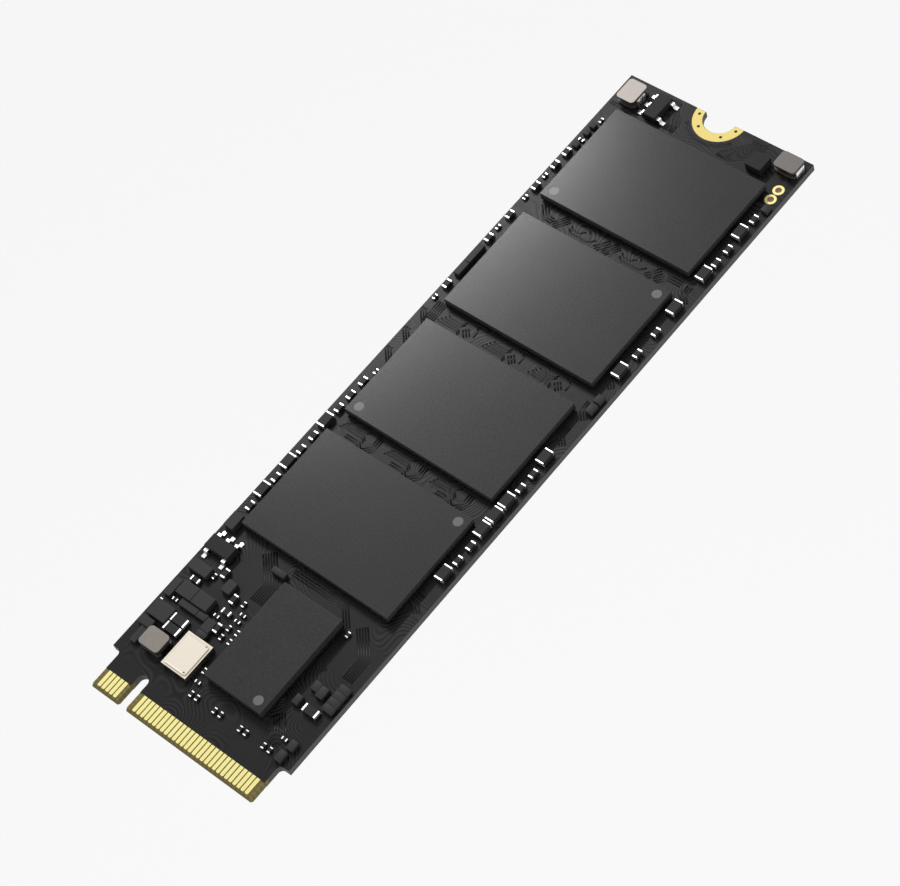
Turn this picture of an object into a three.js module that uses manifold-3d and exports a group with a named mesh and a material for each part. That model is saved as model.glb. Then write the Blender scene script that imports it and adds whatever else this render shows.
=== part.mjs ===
// Solid state drive on an M.2 2280 card: a thin circuit board with its contact tongue at the -Y end, a
// half-round mounting notch in the +Y end, and every component soldered to the top face.
// Millimetres, +Z up. The origin is on the underside, at the middle of the card.

import * as THREE from "three";
import { mergeVertices } from "three/addons/utils/BufferGeometryUtils.js";
import Module from "manifold-3d";

const wasm = await Module();
wasm.setup();

// ---- The card -----------------------------------------------------------------------------------
const CARD_WIDTH = 22;
const CARD_LENGTH = 80;
const CARD_THICKNESS = 0.8;
const SKIN = 0.05; // copper and solder mask together, on each face of the laminate
const FOIL = 0.03; // the copper that lies under the mask
const TONGUE_WIDTH = 19.85;
const TONGUE_LENGTH = 4;
const TONGUE_FILLET = 0.5;
const EDGE_BEVEL = 0.25;
const KEY_NOTCH_X = -6.125;
const KEY_NOTCH_WIDTH = 1.2;
const KEY_NOTCH_DEPTH = 3.5;

// ---- Mounting notch and its plated ring ---------------------------------------------------------
const NOTCH_RADIUS = 1.75;
const RING_INNER_RADIUS = 1.8;
const RING_OUTER_RADIUS = 2.8;
const RING_VIA_CIRCLE = 2.25;
const RING_VIA_ANGLES = [-77, -36.5, 36.5, 77]; // degrees from the card's centre line
const RING_VIA_RADIUS = 0.15;
const RING_DRILL_RADIUS = 0.08;

// ---- Contacts -----------------------------------------------------------------------------------
const CONTACT_PITCH = 0.5;
const CONTACT_WIDTH = 0.38;
const CONTACT_TIP = 0.28; // from the card's end to the tip of a contact
const CONTACT_TIP_RADIUS = 0.12;
const CONTACT_FIELD = 2; // from the card's end to the edge of the solder mask
const TOP_CONTACT_RUNS = [[-9.25, 5], [-4.75, 29]]; // first centre and count on each side of the key
const BOTTOM_CONTACT_RUNS = [[-9, 4], [-5, 29]];

// ---- Plated test holes --------------------------------------------------------------------------
const TEST_HOLE_X = 9.93;
const TEST_HOLE_YS = [35.88, 34.63];
const TEST_HOLE_RADIUS = 0.32;
const TEST_BARREL_RADIUS = 0.4;
const TEST_PAD_RADIUS = 0.58;

// ---- Clearances ---------------------------------------------------------------------------------
const COPPER_PULLBACK = 0.4; // from copper under the mask to the card's outline
const MASK_CLEARANCE = 0.08; // round exposed copper
const PLATING_CLEARANCE = 0.01; // between a plated barrel and its drilled hole
const CUT_THROUGH = 0.1; // how far a cutting shape runs past the face it opens

// ---- Ball grid packages -------------------------------------------------------------------------
const BALL_GAP = 0.2;
const FLASH = { width: 18, length: 12, substrate: 0.25, moulding: 0.6 };
const FLASH_PITCH = 14.5;
const FLASH_FIRST_Y = 29.3;
const FLASH_COUNT = 4;
const FLASH_STACK = { dies: 4, width: 13, length: 10.4, thickness: 0.1, step: 0.35 };
const CONTROLLER = { width: 7, length: 11, substrate: 0.3, moulding: 0.8 };
const CONTROLLER_CENTRE = [2.35, -28.15];
const CONTROLLER_STACK = { dies: 1, width: 4.2, length: 5.4, thickness: 0.25, step: 0 };

// ---- Crystal ------------------------------------------------------------------------------------
const CRYSTAL = { x: -4.1, y: -32.97, width: 3.1, length: 3.8, height: 0.66 };
const CRYSTAL_WALL = 0.35;
const CRYSTAL_LEDGE = 0.45;
const CRYSTAL_LEDGE_HEIGHT = 0.36;
const CRYSTAL_FLOOR = 0.24;
const CRYSTAL_BLANK_THICKNESS = 0.08;
const CRYSTAL_LID_MARGIN = 0.2;
const CRYSTAL_LID_THICKNESS = 0.12;

// ---- Drum core inductors ------------------------------------------------------------------------
const INDUCTORS = [
  { x: -7.52, y: -33.63, width: 2.5, length: 2.02 },
  { x: -9.06, y: 37.79, width: 2.16, length: 2.58 },
  { x: 9.38, y: 38.45, width: 2.5, length: 1.98 },
];
const INDUCTOR_STANDOFF = 0.08;
const INDUCTOR_FLANGE = 0.28;
const INDUCTOR_HEIGHT = 1.1;
const INDUCTOR_CORNER = 0.4;
const INDUCTOR_HUB_RADIUS = 0.5;
const INDUCTOR_WINDING_GAP = 0.02;
const INDUCTOR_WINDING_RADIUS = 0.86;

// ---- Five-lead regulators -----------------------------------------------------------------------
const REGULATORS = [
  { x: -5.86, y: 37.73, turn: Math.PI / 2 },
  { x: -9.04, y: -23.12, turn: 0 },
];
const REGULATOR = { length: 2.92, width: 1.56, draft: 0.05, standoff: 0.06, parting: 0.48, top: 0.88 };
const LEAD = { pitch: 1.1, width: 0.42, thickness: 0.14, shoulder: 1.08, heel: 1.2, toe: 1.6 };
const PADDLE = { length: 2.4, width: 0.9 };

// ---- Chips that stand on the board as plain blocks: x, y, width, length, height ------------------
const CHIPS = {
  power_manager: [-9.26, -31.04, 2.26, 1.74, 0.75],
  load_switch: [-9.27, -25.75, 2.34, 1.15, 0.7],
  converter_1: [-8.59, -28.13, 1.9, 1.48, 0.75],
  converter_2: [-6.62, -28.13, 1.94, 1.48, 0.75],
  temperature_sensor: [-5.64, -25.7, 1.05, 1.3, 0.6],
  voltage_supervisor: [-9.78, -32.58, 1.55, 0.9, 0.6],
  signal_buffer: [6.67, 37.18, 1.8, 1.8, 1],
  edge_array_1: [-10.25, 14.75, 0.7, 2.36, 0.6],
  edge_array_2: [-10.25, 12.72, 0.7, 1.58, 0.6],
  tantalum_capacitor: [-9.95, -20.36, 1.15, 1.68, 0.8],
};

// ---- Large ceramic capacitors in the two edge rows ----------------------------------------------
const CAPACITOR = { width: 0.95, length: 1.7, height: 0.7, terminal: 0.32, plating: 0.03 };
const RIGHT_ROW_X = 10;
const RIGHT_ROW_YS = [29.82, 24.24, 19.76, 11.59, 0.58, -4.85, -6.62, -8.36, -13.72];
const LEFT_ROW_X = -10.06;
const LEFT_ROW_YS = [-7.41, -12.74, -16.33];

// ---- Finishes: colour, roughness, metalness -----------------------------------------------------
const LAMINATE = [0x8a7d48, 0.6, 0];
const GOLD_PLATE = [0xe8d27a, 0.3, 1];
const SOLDER_MASK = [0x262628, 0.5, 0];
const MOULDING = [0x3d3d3f, 0.7, 0];
const SUBSTRATE = [0x2c3a30, 0.6, 0];
const SILICON = [0x6d7078, 0.2, 0.6];
const CERAMIC = [0xf4efe6, 0.5, 0];
const QUARTZ = [0xdfe8ea, 0.1, 0];
const LID_METAL = [0xe9dfd0, 0.4, 0.6];
const FERRITE = [0x9a9088, 0.5, 0.2];
const ENAMELLED_WIRE = [0x8a4a20, 0.4, 0.8];
const TIN_PLATE = [0xe4e4e4, 0.3, 1];
const CHIP_MOULDING = [0x3a3a3b, 0.65, 0];
const CAPACITOR_CERAMIC = [0x4a4642, 0.5, 0];

const CORE_BOTTOM = SKIN;
const CORE_TOP = CARD_THICKNESS - SKIN;
const END_Y = CARD_LENGTH / 2;
const SIDE_X = CARD_WIDTH / 2;
const TONGUE_X = TONGUE_WIDTH / 2;
const SHOULDER_Y = -END_Y + TONGUE_LENGTH;
const MASK_EDGE_Y = -END_Y + CONTACT_FIELD;

const drive = new THREE.Group();

// ---- Solids -------------------------------------------------------------------------------------

// A closed geometry as a solid that can be joined and cut.
function solidOf(geometry) {
  const bare = geometry.clone();
  bare.deleteAttribute("normal");
  bare.deleteAttribute("uv");
  const merged = mergeVertices(bare, 1e-5);
  return new wasm.Manifold(new wasm.Mesh({
    numProp: 3,
    vertProperties: new Float32Array(merged.attributes.position.array),
    triVerts: new Uint32Array(merged.index.array),
  }));
}

function geometryOf(solid) {
  const mesh = solid.getMesh();
  const geometry = new THREE.BufferGeometry();
  geometry.setAttribute("position", new THREE.BufferAttribute(mesh.vertProperties.slice(), 3));
  geometry.setIndex(new THREE.BufferAttribute(mesh.triVerts.slice(), 1));
  return geometry;
}

// A flat outline raised from one height to another.
function slab(shape, low, high, curveSegments = 8) {
  const geometry = new THREE.ExtrudeGeometry(shape, { depth: high - low, bevelEnabled: false, curveSegments });
  return geometry.translate(0, 0, low);
}

// A profile drawn across Y and Z, run along X with its middle at x.
function beam(profile, x, length) {
  const geometry = new THREE.ExtrudeGeometry(profile, { depth: length, bevelEnabled: false });
  geometry.rotateY(Math.PI / 2);
  geometry.rotateX(Math.PI / 2);
  return geometry.translate(x - length / 2, 0, 0);
}

// A profile drawn across X and Z, run along Y with its middle at y = 0.
function crossBeam(profile, length) {
  const geometry = new THREE.ExtrudeGeometry(profile, { depth: length, bevelEnabled: false });
  geometry.rotateX(Math.PI / 2);
  return geometry.translate(0, length / 2, 0);
}

function block(xLow, xHigh, yLow, yHigh, zLow, zHigh) {
  const geometry = new THREE.BoxGeometry(xHigh - xLow, yHigh - yLow, zHigh - zLow);
  return geometry.translate((xLow + xHigh) / 2, (yLow + yHigh) / 2, (zLow + zHigh) / 2);
}

function post(x, y, radius, zLow, zHigh, sides = 24) {
  const geometry = new THREE.CylinderGeometry(radius, radius, zHigh - zLow, sides);
  geometry.rotateX(Math.PI / 2);
  return geometry.translate(x, y, (zLow + zHigh) / 2);
}

function polygon(points) {
  return new THREE.Shape(points.map(([x, y]) => new THREE.Vector2(x, y)));
}

function joined(...geometries) {
  return geometries.map(solidOf).reduce((whole, piece) => whole.add(piece));
}

function addMesh(parent, name, geometry, finish, x = 0, y = 0, z = 0) {
  const [color, roughness, metalness] = finish;
  const mesh = new THREE.Mesh(geometry, new THREE.MeshStandardMaterial({ color, roughness, metalness }));
  mesh.name = name;
  mesh.position.set(x, y, z);
  parent.add(mesh);
}

// ---- Card: laminate, copper, solder mask --------------------------------------------------------

function cardOutline() {
  const notchRadius = KEY_NOTCH_WIDTH / 2;
  const notchCentreY = -END_Y + KEY_NOTCH_DEPTH - notchRadius;
  const outline = new THREE.Shape();
  outline.moveTo(NOTCH_RADIUS, END_Y);
  outline.absarc(0, END_Y, NOTCH_RADIUS, 0, Math.PI, true);
  outline.lineTo(-SIDE_X, END_Y);
  outline.lineTo(-SIDE_X, SHOULDER_Y);
  outline.absarc(-TONGUE_X - TONGUE_FILLET, SHOULDER_Y - TONGUE_FILLET, TONGUE_FILLET, Math.PI / 2, 0, true);
  outline.lineTo(-TONGUE_X, -END_Y);
  outline.lineTo(KEY_NOTCH_X - notchRadius, -END_Y);
  outline.absarc(KEY_NOTCH_X, notchCentreY, notchRadius, Math.PI, 0, true);
  outline.lineTo(KEY_NOTCH_X + notchRadius, -END_Y);
  outline.lineTo(TONGUE_X, -END_Y);
  outline.absarc(TONGUE_X + TONGUE_FILLET, SHOULDER_Y - TONGUE_FILLET, TONGUE_FILLET, Math.PI, Math.PI / 2, true);
  outline.lineTo(SIDE_X, SHOULDER_Y);
  outline.lineTo(SIDE_X, END_Y);
  outline.closePath();
  return outline;
}

function ringViaPlaces() {
  return RING_VIA_ANGLES.map((degrees) => {
    const angle = THREE.MathUtils.degToRad(degrees);
    return [RING_VIA_CIRCLE * Math.sin(angle), END_Y - RING_VIA_CIRCLE * Math.cos(angle)];
  });
}

// The card's side view, with both lips of its contact end bevelled.
function bevelledSide() {
  const beyond = END_Y + 1;
  const start = -END_Y + EDGE_BEVEL;
  return polygon([
    [-END_Y, CORE_BOTTOM + EDGE_BEVEL],
    [start, CORE_BOTTOM],
    [start, -1],
    [beyond, -1],
    [beyond, 2],
    [start, 2],
    [start, CORE_TOP],
    [-END_Y, CORE_TOP - EDGE_BEVEL],
  ]);
}

function boardCore() {
  let core = solidOf(slab(cardOutline(), CORE_BOTTOM, CORE_TOP));
  core = core.intersect(solidOf(beam(bevelledSide(), 0, CARD_WIDTH + 2)));
  for (const [x, y] of ringViaPlaces()) {
    core = core.subtract(solidOf(post(x, y, RING_VIA_RADIUS + PLATING_CLEARANCE, -1, 2, 12)));
  }
  for (const y of TEST_HOLE_YS) {
    core = core.subtract(solidOf(post(TEST_HOLE_X, y, TEST_BARREL_RADIUS + PLATING_CLEARANCE, -1, 2)));
  }
  return core;
}

function contactOutline(x) {
  const half = CONTACT_WIDTH / 2;
  const tip = -END_Y + CONTACT_TIP;
  const turn = tip + CONTACT_TIP_RADIUS;
  const inner = half - CONTACT_TIP_RADIUS;
  const outline = new THREE.Shape();
  outline.moveTo(x - half, MASK_EDGE_Y);
  outline.lineTo(x - half, turn);
  outline.absarc(x - inner, turn, CONTACT_TIP_RADIUS, Math.PI, Math.PI * 1.5, false);
  outline.absarc(x + inner, turn, CONTACT_TIP_RADIUS, Math.PI * 1.5, Math.PI * 2, false);
  outline.lineTo(x + half, MASK_EDGE_Y);
  outline.closePath();
  return outline;
}

// Copper under the mask, pulled back from the card's outline, the ring and the test pads.
function foilUnderMask(low, high) {
  const side = SIDE_X - COPPER_PULLBACK;
  const tongue = TONGUE_X - COPPER_PULLBACK;
  const shoulder = SHOULDER_Y + COPPER_PULLBACK;
  const front = MASK_EDGE_Y - PLATING_CLEARANCE;
  const notchSide = KEY_NOTCH_WIDTH / 2 + 0.3;
  const notchTop = -END_Y + KEY_NOTCH_DEPTH + COPPER_PULLBACK;
  const outline = polygon([
    [side, END_Y - COPPER_PULLBACK], [-side, END_Y - COPPER_PULLBACK],
    [-side, shoulder], [-tongue, shoulder], [-tongue, front],
    [KEY_NOTCH_X - notchSide, front], [KEY_NOTCH_X - notchSide, notchTop],
    [KEY_NOTCH_X + notchSide, notchTop], [KEY_NOTCH_X + notchSide, front],
    [tongue, front], [tongue, shoulder], [side, shoulder],
  ]);
  let foil = solidOf(slab(outline, low, high));
  foil = foil.subtract(solidOf(post(0, END_Y, RING_OUTER_RADIUS + COPPER_PULLBACK, -1, 2, 48)));
  for (const y of TEST_HOLE_YS) {
    foil = foil.subtract(solidOf(post(TEST_HOLE_X, y, TEST_PAD_RADIUS + COPPER_PULLBACK, -1, 2)));
  }
  return foil;
}

// One copper layer: the foil with its row of contacts, which are as thick as the whole skin.
function copperLayer(foil, runs, low, high) {
  let layer = foil;
  for (const [first, count] of runs) {
    for (let i = 0; i < count; i++) {
      layer = layer.add(solidOf(slab(contactOutline(first + i * CONTACT_PITCH), low, high, 1)));
    }
  }
  return layer;
}

// Solder mask: fills the skin over and beside the foil, open at the contacts, the ring and the test pads.
function maskLayer(foil, low, high) {
  let mask = solidOf(slab(cardOutline(), low, high)).subtract(foil);
  mask = mask.subtract(solidOf(block(-SIDE_X, SIDE_X, -END_Y - 1, MASK_EDGE_Y, -1, 2)));
  mask = mask.subtract(solidOf(post(0, END_Y, RING_OUTER_RADIUS + MASK_CLEARANCE, -1, 2, 48)));
  for (const y of TEST_HOLE_YS) {
    mask = mask.subtract(solidOf(post(TEST_HOLE_X, y, TEST_PAD_RADIUS + MASK_CLEARANCE, -1, 2)));
  }
  return mask;
}

// The plated land round the mounting notch: a half ring on each face, joined by four drilled barrels.
function mountingRing() {
  let ring = joined(
    post(0, END_Y, RING_OUTER_RADIUS, 0, SKIN, 48),
    post(0, END_Y, RING_OUTER_RADIUS, CORE_TOP, CARD_THICKNESS, 48),
  );
  ring = ring.subtract(solidOf(post(0, END_Y, RING_INNER_RADIUS, -1, 2, 48)));
  ring = ring.subtract(solidOf(block(-SIDE_X, SIDE_X, END_Y - SKIN, END_Y + SIDE_X, -1, 2)));
  for (const [x, y] of ringViaPlaces()) {
    ring = ring.add(solidOf(post(x, y, RING_VIA_RADIUS, SKIN / 2, CARD_THICKNESS - SKIN / 2, 12)));
  }
  for (const [x, y] of ringViaPlaces()) {
    ring = ring.subtract(solidOf(post(x, y, RING_DRILL_RADIUS, -1, 2, 12)));
  }
  return ring;
}

// A plated through hole: a pad on each face and the barrel between them.
function testHole() {
  const profile = [
    [TEST_HOLE_RADIUS, 0], [TEST_PAD_RADIUS, 0], [TEST_PAD_RADIUS, SKIN], [TEST_BARREL_RADIUS, SKIN],
    [TEST_BARREL_RADIUS, CORE_TOP], [TEST_PAD_RADIUS, CORE_TOP], [TEST_PAD_RADIUS, CARD_THICKNESS],
    [TEST_HOLE_RADIUS, CARD_THICKNESS], [TEST_HOLE_RADIUS, 0],
  ];
  const geometry = new THREE.LatheGeometry(profile.map(([r, h]) => new THREE.Vector2(r, h)), 20);
  return geometryOf(solidOf(geometry.rotateX(Math.PI / 2)));
}

function addCard() {
  const topFoil = foilUnderMask(CORE_TOP, CORE_TOP + FOIL);
  const bottomFoil = foilUnderMask(CORE_BOTTOM - FOIL, CORE_BOTTOM);
  const topCopper = copperLayer(topFoil, TOP_CONTACT_RUNS, CORE_TOP, CARD_THICKNESS);
  const bottomCopper = copperLayer(bottomFoil, BOTTOM_CONTACT_RUNS, 0, CORE_BOTTOM);
  addMesh(drive, "board_core", geometryOf(boardCore()), LAMINATE);
  addMesh(drive, "top_copper", geometryOf(topCopper), GOLD_PLATE);
  addMesh(drive, "bottom_copper", geometryOf(bottomCopper), GOLD_PLATE);
  addMesh(drive, "top_solder_mask", geometryOf(maskLayer(topFoil, CORE_TOP, CARD_THICKNESS)), SOLDER_MASK);
  addMesh(drive, "bottom_solder_mask", geometryOf(maskLayer(bottomFoil, 0, CORE_BOTTOM)), SOLDER_MASK);
  addMesh(drive, "mounting_ring", geometryOf(mountingRing()), GOLD_PLATE);
  TEST_HOLE_YS.forEach((y, i) => addMesh(drive, `test_hole_${i + 1}`, testHole(), GOLD_PLATE, TEST_HOLE_X, y));
}

// ---- Ball grid packages -------------------------------------------------------------------------

// Side view of dies stacked like stairs, so that each one's bond pads stay clear of the next.
function stackProfile(stack, bottom, top) {
  const left = [];
  const right = [];
  for (let i = 0; i < stack.dies; i++) {
    const shift = (i - (stack.dies - 1) / 2) * stack.step;
    const low = i === 0 ? bottom : top + i * stack.thickness;
    const high = top + (i + 1) * stack.thickness;
    left.push([shift - stack.width / 2, low], [shift - stack.width / 2, high]);
    right.push([shift + stack.width / 2, low], [shift + stack.width / 2, high]);
  }
  return polygon([...right, ...left.reverse()]);
}

// A package in its own group: moulding over dies on a substrate, held off the board by its solder balls.
function addPackage(name, body, stack, stackName, x, y) {
  const group = new THREE.Group();
  const bottom = CARD_THICKNESS + BALL_GAP;
  const deck = bottom + body.substrate;
  const top = deck + body.moulding;
  const side = body.width / 2;
  const end = body.length / 2;
  const dies = crossBeam(stackProfile(stack, deck, deck), stack.length);
  const pocket = crossBeam(stackProfile(stack, deck - CUT_THROUGH, deck), stack.length);
  const moulding = solidOf(block(-side, side, -end, end, deck, top)).subtract(solidOf(pocket));
  addMesh(group, `${name}_moulding`, geometryOf(moulding), MOULDING);
  addMesh(group, `${name}_${stackName}`, geometryOf(solidOf(dies)), SILICON);
  addMesh(group, `${name}_substrate`, block(-side, side, -end, end, bottom, deck), SUBSTRATE);
  group.position.set(x, y, 0);
  drive.add(group);
}

function addPackages() {
  for (let i = 0; i < FLASH_COUNT; i++) {
    addPackage(`flash_${i + 1}`, FLASH, FLASH_STACK, "die_stack", 0, FLASH_FIRST_Y - i * FLASH_PITCH);
  }
  addPackage("controller", CONTROLLER, CONTROLLER_STACK, "die", ...CONTROLLER_CENTRE);
}

// ---- Crystal ------------------------------------------------------------------------------------

// A ceramic tub with a ledge at its -Y end, the quartz blank that rests on the ledge, and a flat lid.
function addCrystal() {
  const group = new THREE.Group();
  const side = CRYSTAL.width / 2;
  const end = CRYSTAL.length / 2;
  const low = CARD_THICKNESS;
  const rim = low + CRYSTAL.height;
  const ledge = low + CRYSTAL_LEDGE_HEIGHT;
  const inSide = side - CRYSTAL_WALL;
  const inEnd = end - CRYSTAL_WALL;
  const lidSide = side - CRYSTAL_LID_MARGIN;
  const lidEnd = end - CRYSTAL_LID_MARGIN;
  const upper = block(-inSide, inSide, -inEnd, inEnd, ledge, rim + 1);
  const lower = block(-inSide, inSide, -inEnd + CRYSTAL_LEDGE, inEnd, low + CRYSTAL_FLOOR, rim + 1);
  const tub = solidOf(block(-side, side, -end, end, low, rim)).subtract(joined(upper, lower));
  const blankTop = ledge + CRYSTAL_BLANK_THICKNESS;
  const blank = block(-inSide + 0.2, inSide - 0.2, -inEnd + 0.1, inEnd - 0.3, ledge, blankTop);
  addMesh(group, "crystal_case", geometryOf(tub), CERAMIC);
  addMesh(group, "crystal_blank", blank, QUARTZ);
  addMesh(group, "crystal_lid",
    block(-lidSide, lidSide, -lidEnd, lidEnd, rim, rim + CRYSTAL_LID_THICKNESS), LID_METAL);
  group.position.set(CRYSTAL.x, CRYSTAL.y, 0);
  drive.add(group);
}

// ---- Inductors ----------------------------------------------------------------------------------

function roundedFlange(width, length, low, high) {
  const side = width / 2;
  const end = length / 2;
  const r = INDUCTOR_CORNER;
  const outline = new THREE.Shape();
  outline.moveTo(side - r, -end);
  outline.absarc(side - r, -end + r, r, -Math.PI / 2, 0, false);
  outline.absarc(side - r, end - r, r, 0, Math.PI / 2, false);
  outline.absarc(-side + r, end - r, r, Math.PI / 2, Math.PI, false);
  outline.absarc(-side + r, -end + r, r, Math.PI, Math.PI * 1.5, false);
  outline.closePath();
  return slab(outline, low, high, 3);
}

// A drum core, which is two flanges on a round hub, and the coil wound between the flanges.
function addInductor(name, { x, y, width, length }) {
  const group = new THREE.Group();
  const bottom = CARD_THICKNESS + INDUCTOR_STANDOFF;
  const lowerTop = bottom + INDUCTOR_FLANGE;
  const top = CARD_THICKNESS + INDUCTOR_HEIGHT;
  const upperBottom = top - INDUCTOR_FLANGE;
  const core = joined(
    roundedFlange(width, length, bottom, lowerTop),
    post(0, 0, INDUCTOR_HUB_RADIUS, lowerTop - CUT_THROUGH, upperBottom + CUT_THROUGH),
    roundedFlange(width, length, upperBottom, top),
  );
  const coilBottom = lowerTop + INDUCTOR_WINDING_GAP;
  const coilTop = upperBottom - INDUCTOR_WINDING_GAP;
  const bore = post(0, 0, INDUCTOR_HUB_RADIUS + INDUCTOR_WINDING_GAP, 0, 3);
  const coil = solidOf(post(0, 0, INDUCTOR_WINDING_RADIUS, coilBottom, coilTop)).subtract(solidOf(bore));
  addMesh(group, `${name}_core`, geometryOf(core), FERRITE);
  addMesh(group, `${name}_winding`, geometryOf(coil), ENAMELLED_WIRE);
  group.position.set(x, y, 0);
  drive.add(group);
}

// ---- Regulators ---------------------------------------------------------------------------------

// One gull-wing lead in side view: level out of the moulding, down, and level again on its pad.
function leadProfile(side) {
  const { thickness, shoulder, heel, toe } = LEAD;
  const top = CARD_THICKNESS + REGULATOR.parting + thickness / 2;
  const under = top - thickness;
  const foot = CARD_THICKNESS;
  return polygon([
    [0.2, top], [shoulder, top], [heel, foot + thickness], [toe, foot + thickness], [toe, foot],
    [heel - thickness, foot], [shoulder - thickness, under], [0.2, under],
  ].map(([y, z]) => [y * side, z]));
}

// Five leads, three on one side and two on the other, still joined by the paddle inside the moulding.
function leadFrame() {
  const middle = CARD_THICKNESS + REGULATOR.parting;
  const paddle = block(
    -PADDLE.length / 2, PADDLE.length / 2, -PADDLE.width / 2, PADDLE.width / 2,
    middle - LEAD.thickness / 2, middle + LEAD.thickness / 2,
  );
  const leads = [-1, 0, 1].map((i) => beam(leadProfile(1), i * LEAD.pitch, LEAD.width));
  leads.push(...[-1, 1].map((i) => beam(leadProfile(-1), i * LEAD.pitch, LEAD.width)));
  return joined(paddle, ...leads);
}

function regulatorMoulding() {
  const { length, width, draft, standoff, parting, top } = REGULATOR;
  const widest = width / 2;
  const narrow = widest - draft;
  const profile = polygon([
    [narrow, CARD_THICKNESS + standoff], [widest, CARD_THICKNESS + parting],
    [narrow, CARD_THICKNESS + top], [-narrow, CARD_THICKNESS + top],
    [-widest, CARD_THICKNESS + parting], [-narrow, CARD_THICKNESS + standoff],
  ]);
  return solidOf(beam(profile, 0, length));
}

function addRegulator(name, { x, y, turn }) {
  const group = new THREE.Group();
  const frame = leadFrame();
  addMesh(group, `${name}_moulding`, geometryOf(regulatorMoulding().subtract(frame)), CHIP_MOULDING);
  addMesh(group, `${name}_lead_frame`, geometryOf(frame), TIN_PLATE);
  group.position.set(x, y, 0);
  group.rotation.z = turn;
  drive.add(group);
}

// ---- Chips and capacitors -----------------------------------------------------------------------

function addChips() {
  for (const [name, [x, y, width, length, height]] of Object.entries(CHIPS)) {
    const geometry = new THREE.BoxGeometry(width, length, height);
    addMesh(drive, name, geometry, CHIP_MOULDING, x, y, CARD_THICKNESS + height / 2);
  }
}

// A ceramic chip lying along Y, whose plated ends stand slightly proud of its middle.
function capacitorSolid() {
  const { width, length, height, terminal, plating } = CAPACITOR;
  const side = width / 2;
  const end = length / 2;
  return joined(
    block(-side + plating, side - plating, -end + plating, end - plating, plating, height - plating),
    block(-side, side, -end, -end + terminal, 0, height),
    block(-side, side, end - terminal, end, 0, height),
  );
}

function addCapacitors() {
  const places = [
    ...RIGHT_ROW_YS.map((y) => [RIGHT_ROW_X, y]),
    ...LEFT_ROW_YS.map((y) => [LEFT_ROW_X, y]),
  ];
  places.forEach(([x, y], i) => {
    addMesh(drive, `capacitor_${i + 1}`, geometryOf(capacitorSolid()), CAPACITOR_CERAMIC, x, y, CARD_THICKNESS);
  });
}

addCard();
addPackages();
addCrystal();
INDUCTORS.forEach((place, i) => addInductor(`inductor_${i + 1}`, place));
REGULATORS.forEach((place, i) => addRegulator(`regulator_${i + 1}`, place));
addChips();
addCapacitors();

export default drive;
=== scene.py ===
"""Solid state drive on a narrow plug-in card.

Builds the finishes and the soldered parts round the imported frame, then the studio.
Places and sizes are given in millimetres and turned to metres when a piece is made.
"""

import math

import bmesh
import bpy
from mathutils import Matrix, Vector


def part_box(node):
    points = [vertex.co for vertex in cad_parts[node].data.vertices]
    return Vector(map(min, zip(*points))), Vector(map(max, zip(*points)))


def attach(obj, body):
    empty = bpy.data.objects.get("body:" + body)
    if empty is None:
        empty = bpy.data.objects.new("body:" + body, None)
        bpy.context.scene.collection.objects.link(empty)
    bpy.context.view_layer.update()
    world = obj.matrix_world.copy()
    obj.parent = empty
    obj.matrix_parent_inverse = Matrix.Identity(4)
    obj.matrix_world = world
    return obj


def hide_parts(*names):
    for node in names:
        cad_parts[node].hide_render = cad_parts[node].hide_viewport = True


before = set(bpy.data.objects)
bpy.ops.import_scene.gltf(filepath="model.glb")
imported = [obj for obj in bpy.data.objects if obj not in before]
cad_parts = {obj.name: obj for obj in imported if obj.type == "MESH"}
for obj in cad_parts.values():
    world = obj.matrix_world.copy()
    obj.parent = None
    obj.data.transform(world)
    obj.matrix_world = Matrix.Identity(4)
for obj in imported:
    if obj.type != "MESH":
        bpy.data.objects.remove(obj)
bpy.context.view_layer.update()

bl_info = {
    "name": "Drive card",
    "version": (1, 0, 0),
    "blender": (4, 5, 0),
    "location": "View3D > Sidebar > Drive card",
    "description": "Builds a solid state drive card: its board, packages, small parts and studio",
    "category": "Object",
}

MM = 0.001

# ---- Places, from the frame ---------------------------------------------------------------------
BOARD_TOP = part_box("top_solder_mask")[1].z / MM
CARD_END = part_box("board_core")[1].y / MM
MASK_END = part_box("top_solder_mask")[0].y / MM
BARE_END = MASK_END + 0.4       # bare laminate starts just inside the edge of the mask

# ---- Packages and their solder balls ------------------------------------------------------------
FLASH_NAMES = ["flash_1", "flash_2", "flash_3", "flash_4"]
FLASH_TURNS = [0, 180, 0, 180]  # every other memory package is soldered the other way round
FLASH_DOT = (-7.98, -5.06)      # pin one mark, from the middle of the package
CONTROLLER_DOT = (2.5, -4.6)
DOT_RADIUS = 0.5
DOT_DEPTH = 0.02
PACKAGE_ROUNDING = 0.05
TOOL_CLEAR = 0.2                # a cutting tool stands this far out of what it cuts
FLASH_BALLS = (0.22, 12, 11)    # radius, columns, rows
CONTROLLER_BALLS = (0.15, 12, 20)
BALL_SINK = 0.01                # how far a ball reaches into the pads above and below it
PAD_SHARE = 0.72                # a ball's flat, as a share of its widest part

# ---- Traces, vias and plated holes --------------------------------------------------------------
TRACE_SINK = 0.01               # how far a trace reaches down into the mask
VIA_RADIUS, VIA_SINK = 0.17, 0.005
VIA_RIM, VIA_SLOPE, VIA_DIMPLE = 0.05, 0.03, 0.006
PLUG_RADIUS, PLUG_RISE, PLUG_DEPTH, PLUG_ROUNDING = 0.165, 0.006, 0.06, 0.01
PLUG_CIRCLE = 2.25              # radius of the circle of vias in the land
PLUG_ANGLES = (-77, -36.5, 36.5, 77)
PLATING_ROUNDING = 0.008

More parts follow.
